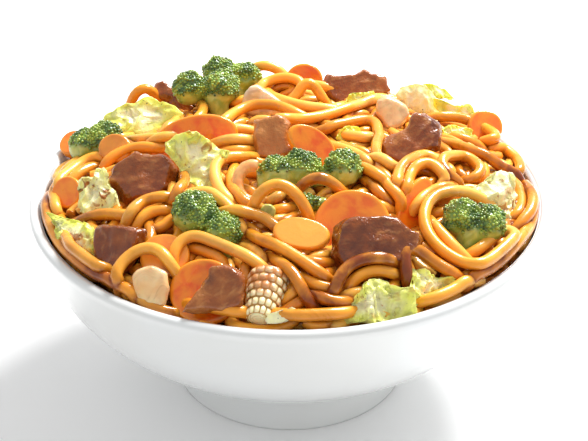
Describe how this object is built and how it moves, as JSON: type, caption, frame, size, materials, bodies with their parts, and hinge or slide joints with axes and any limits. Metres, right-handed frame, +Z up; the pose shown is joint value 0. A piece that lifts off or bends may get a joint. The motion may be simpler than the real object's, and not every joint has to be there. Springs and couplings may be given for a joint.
{
  "type": "yakisoba",
  "caption": "White porcelain bowl heaped with thick glossy noodles, meat, broccoli, carrot, cabbage, mushroom, onion and baby corn.",
  "frame": {"origin": "on the table, under the middle of the bowl's foot", "axes": "+Z up, -Y towards the side that the food is shown from, +X to that side's right"},
  "size_m": [0.2, 0.1994, 0.1105],
  "materials": {
    "porcelain": "white porcelain, clear glossy glaze",
    "noodles": "cooked wheat noodle coated in thin glossy brown sauce",
    "broccoli": "cooked broccoli, dark green beaded heads on lighter stems",
    "carrot": "cooked carrot slice, moist, paler at its edge",
    "meat": "braised meat, fibrous, coated in dark glossy sauce",
    "cabbage": "cooked cabbage leaf, pale yellow-green with cream ribs",
    "mushroom": "cooked mushroom slice, cream, moist",
    "onion": "cooked onion, cream with streaks of sauce",
    "corn": "cooked baby corn, cream yellow kernels"
  },
  "bodies": {
    "root": {"baby_corn": "corn", "bowl": "porcelain", "broccoli_back": "broccoli", "broccoli_left": "broccoli", "broccoli_lower": "broccoli", "broccoli_middle": "broccoli", "broccoli_right": "broccoli", "broccoli_stem_end": "broccoli", "broccoli_under": "broccoli", "broccoli_upper_left": "broccoli", "cabbage_back": "cabbage", "cabbage_back_edge": "cabbage", "cabbage_back_right": "cabbage", "cabbage_far_left": "cabbage", "cabbage_folded": "cabbage", "cabbage_front": "cabbage", "cabbage_front_right": "cabbage", "cabbage_inner_back": "cabbage", "cabbage_inner_right": "cabbage", "cabbage_left": "cabbage", "cabbage_middle": "cabbage", "cabbage_rib": "cabbage", "cabbage_right": "cabbage", "cabbage_upper_left": "cabbage", "carrot_back": "carrot", "carrot_far_left": "carrot", "carrot_far_right": "carrot", "carrot_front": "carrot", "carrot_glazed": "carrot", "carrot_left": "carrot", "carrot_middle": "carrot", "carrot_pale": "carrot", "carrot_right": "carrot", "carrot_round": "carrot", "carrot_sauced": "carrot", "carrot_tall": "carrot", "carrot_upper_left": "carrot", "meat_back": "meat", "meat_front": "meat", "meat_front_left": "meat", "meat_front_middle": "meat", "meat_left": "meat", "meat_middle": "meat", "meat_right": "meat", "meat_upper_left": "meat", "mushroom_back": "mushroom", "mushroom_front": "mushroom", "noodle_heap": "noodles", "onion_back": "onion", "onion_strip": "onion"}
  },
  "joints": []
}
